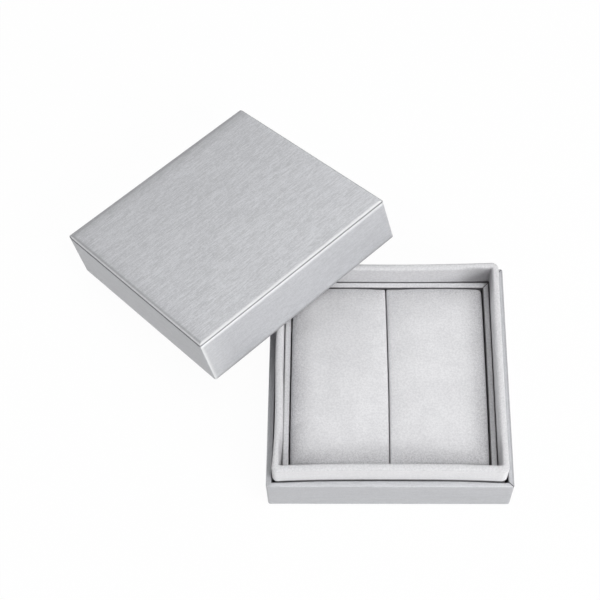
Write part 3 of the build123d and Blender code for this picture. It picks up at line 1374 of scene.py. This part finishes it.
@dataclass
class LeaningLid:
    """The lid, off the box and leaning on the collar. Lengths are in millimetres."""

    body: str = "lid"
    sides: tuple[str, ...] = ("near", "right", "far", "left")
    place: Pose = LEANING_LID
    ceiling_width: float = 94.2
    ceiling_face: float = 15.0
    ceiling_back: float = 18.4
    ceiling_crown: Pair = (0.45, 0.45)
    ceiling_corner: float = 2.5
    ceiling_edge: float = 1.1
    ceiling_voxel: float = 1.3
    ceiling_swell: float = 0.3
    ceiling_seed: float = 11.0
    top: float = 22.0
    seam: float = 20.2
    seam_lift: float = 1.3
    lift_foot: float = 17.0
    lift_places: Pair = (48.0, 48.8)
    groove: float = 0.38
    groove_reach: float = 0.55
    shoulder: float = 48.4
    shoulder_drop: float = 0.35
    overhang: float = 0.45
    cut_places: tuple[float, ...] = (48.0, 48.4, 48.8, 49.1, 49.4)
    cut_heights: tuple[float, ...] = (17.0, 18.6, 19.4)

    def dress(self) -> None:
        """Give every piece of the lid its finish, soften its top edges and build the ceiling."""
        soft = Reshaping("soft", self.place, self.cut_places, self.cut_heights, self._soften)
        top_sheet = BRUSHED_TOP.make("lid_top_sheet", self.place, Grain.ALONG_X, LID_EDGE_LIGHT)
        wall_sheet = BRUSHED.make("lid_wall_sheet", self.place, Grain.ROUND_WALLS, LID_EDGE_LIGHT)
        soft.swap(top_sheet, self.body, "brushed_cover", "lid_panel_cover")
        soft.swap(wall_sheet, self.body, "brushed_cover", "lid_wall_cover")
        board = GREYBOARD.make("lid_board", self.place)
        soft.swap(board, self.body, "greyboard", "lid_panel_board")
        dress(board, "lid_deck_board")
        dress(board, *(f"lid_wall_board_{side}" for side in self.sides))
        dress(STAY_PAPER.make("lid_tape", self.place), "lid_corner_stays")
        dress(LINING_PAPER.make("lid_lining", self.place), "lid_wall_lining")
        self._ceiling()
        log.info("lid dressed")

    def _soften(self, spot: Vector) -> Vector:
        """Give how far a point of the lid's covers moves.

        Args:
            spot: The point in the lid's own frame, in millimetres.

        Returns:
            The move, in millimetres.
        """
        out = max(abs(spot.x), abs(spot.y))
        low, high = self.lift_places
        lift = self.seam_lift * ease((out - low) / (high - low))
        if spot.z > self.seam:
            lift *= (self.top - spot.z) / (self.top - self.seam)
        else:
            lift *= max(0.0, (spot.z - self.lift_foot) / (self.seam - self.lift_foot))
        over = min(1.0, max(0.0, (out - self.shoulder) / (HALF_WIDTH - self.shoulder)))
        above = max(0.0, (spot.z - self.seam) / (self.top - self.seam))
        drop = self.shoulder_drop * (1 - math.sqrt(1 - over * over)) * above
        far = spot.y > abs(spot.x)
        drop *= 0.0 if far else 1.0
        pinch = self.groove * ease(1 - abs(spot.z - self.seam) / self.groove_reach)
        move = Vector((0.0, 0.0, lift - drop))
        for axis in (0, 1):
            if abs(spot[axis]) > high:
                move[axis] = -math.copysign(pinch, spot[axis])
        move.y += self.overhang * above if far and out > high else 0.0
        return move

    def _ceiling(self) -> None:
        """Build the thin padded ceiling, crowned towards the lid's opening."""
        half, place = self.ceiling_width / 2, self.place.upturned()
        pad = Cushion(
            "lid_ceiling",
            Vector((-half, -half, -self.ceiling_back)),
            Vector((half, half, -self.ceiling_face)),
            place,
            crown=self.ceiling_crown,
            corner=self.ceiling_corner,
            edge=self.ceiling_edge,
            voxel=self.ceiling_voxel,
            swell=self.ceiling_swell,
            seed=self.ceiling_seed,
        ).build()
        suede = SUEDE.make("ceiling_suede", place, Nap.STROKED)
        finish_piece(pad, suede, self.body, "suede", "lid_ceiling_cover", "lid_ceiling_pad")
        log.info("lid ceiling built")


@dataclass(frozen=True)
class Lamp:
    """A soft square lamp that looks at the box from a bearing and a height, both in degrees.

    The bearing runs from the right (+X) towards the rear; lengths are in metres.
    """

    name: str
    bearing: float
    height: float
    watts: float
    side: float = 0.6
    distance: float = 1.3
    look_at: Point = (-0.03, 0.03, 0.02)

    def hang(self) -> Object:
        """Make the lamp and turn it to what it looks at.

        Returns:
            The lamp.
        """
        data = bpy.data.lights.new(self.name, "AREA")
        data.shape = "SQUARE"
        data.size = self.side
        data.energy = self.watts
        bearing, height = math.radians(self.bearing), math.radians(self.height)
        away = Vector((math.cos(height), 0.0, math.sin(height)))
        away.rotate(Euler((0.0, 0.0, bearing)))
        lamp = bpy.data.objects.new(self.name, data)
        lamp.location = Vector(self.look_at) + away * self.distance
        lamp.rotation_euler = (-away).to_track_quat("-Z", "Y").to_euler()
        bpy.context.scene.collection.objects.link(lamp)
        return lamp


@dataclass
class Studio:
    """White sweep, even sky, soft lamps and the camera.

    The sweep's side and the camera's place are in metres. The floor's drop, the sensor and the
    lens are in millimetres, and the elevation and azimuth are in degrees.
    """

    sky: float = 0.03
    floor_side: float = 6.0
    floor_drop: float = 0.05
    floor_tone: Colour = (0.86, 0.86, 0.86)
    shadow_share: float = 0.035
    lamps: tuple[Lamp, ...] = (
        Lamp("key_low", 315, 25, 9.8),
        Lamp("key_high", 315, 65, 7.2),
        Lamp("right", 0, 65, 1.9),
        Lamp("rear", 90, 25, 3.5),
        Lamp("rear_left", 135, 38, 2.2),
        Lamp("left", 180, 38, 2.7),
        Lamp("front_left", 225, 25, 1.1),
    )
    sensor: float = 36.0
    lens: float = 84.798
    shift: Pair = (-0.07441, 0.0)
    camera_at: Point = (-0.01797, -0.24513, 0.55922)
    elevation: float = 62.532
    azimuth: float = -0.091

    def build(self) -> None:
        """Set the whole stage."""
        self._camera()
        self._sky()
        self._floor()
        for lamp in self.lamps:
            lamp.hang()
        bpy.context.scene.view_settings.view_transform = "Standard"
        log.info("studio set with %d lamps", len(self.lamps))

    def _camera(self) -> None:
        """Place the camera at the elevation and azimuth of the view."""
        data = bpy.data.cameras.new("camera")
        data.lens = self.lens
        data.sensor_width = self.sensor
        data.shift_x, data.shift_y = self.shift
        camera = bpy.data.objects.new("camera", data)
        camera.location = self.camera_at
        tilt, turn = math.radians(90 - self.elevation), math.radians(-self.azimuth)
        camera.rotation_euler = (tilt, 0.0, turn)
        bpy.context.scene.collection.objects.link(camera)
        bpy.context.scene.camera = camera

    def _sky(self) -> None:
        """Light the scene evenly, and show white to the camera and in reflections."""
        world = bpy.data.worlds.new("sky")
        bench = Bench(world)
        mix = bench.node("ShaderNodeMixShader", inputs={0: bench.looked_along()})
        for socket, strength in ((1, self.sky), (2, 1.0)):
            glow = bench.node("ShaderNodeBackground", inputs={"Color": WHITE, "Strength": strength})
            bench.plug(mix.inputs[socket], bench.out(glow))
        bench.node("ShaderNodeOutputWorld", inputs={"Surface": bench.out(mix)})
        bpy.context.scene.world = world

    def _floor(self) -> None:
        """Lay the white sweep, which keeps a faint share of the box's shadow."""
        sweep = bmesh.new()
        bmesh.ops.create_grid(sweep, x_segments=1, y_segments=1, size=self.floor_side / 2)
        bmesh.ops.translate(sweep, vec=(0, 0, -self.floor_drop * MM), verts=sweep.verts)
        floor = show("sweep", sweep)
        paint = Paint("sweep_paper")
        paint.surface(Base_Color=(*self.floor_tone, 1.0), Roughness=1.0)
        glow = paint.out(paint.node("ShaderNodeEmission", inputs={"Strength": 1.0}))
        share = paint.looked_along() * (1 - self.shadow_share)
        cover = paint.node(
            "ShaderNodeMixShader", inputs={0: share, 1: paint.out(paint.shader), 2: glow}
        )
        paint.plug(paint.output.inputs["Surface"], paint.out(cover))
        floor.data.materials.append(paint.material)


def main() -> None:
    """Build the scene: the studio, the tray, the insert and the lid."""
    logging.basicConfig(level=logging.INFO, format="%(message)s")
    Studio().build()
    BaseTray().dress()
    PadInsert().dress()
    LeaningLid().dress()


if __name__ == "__main__":
    main()
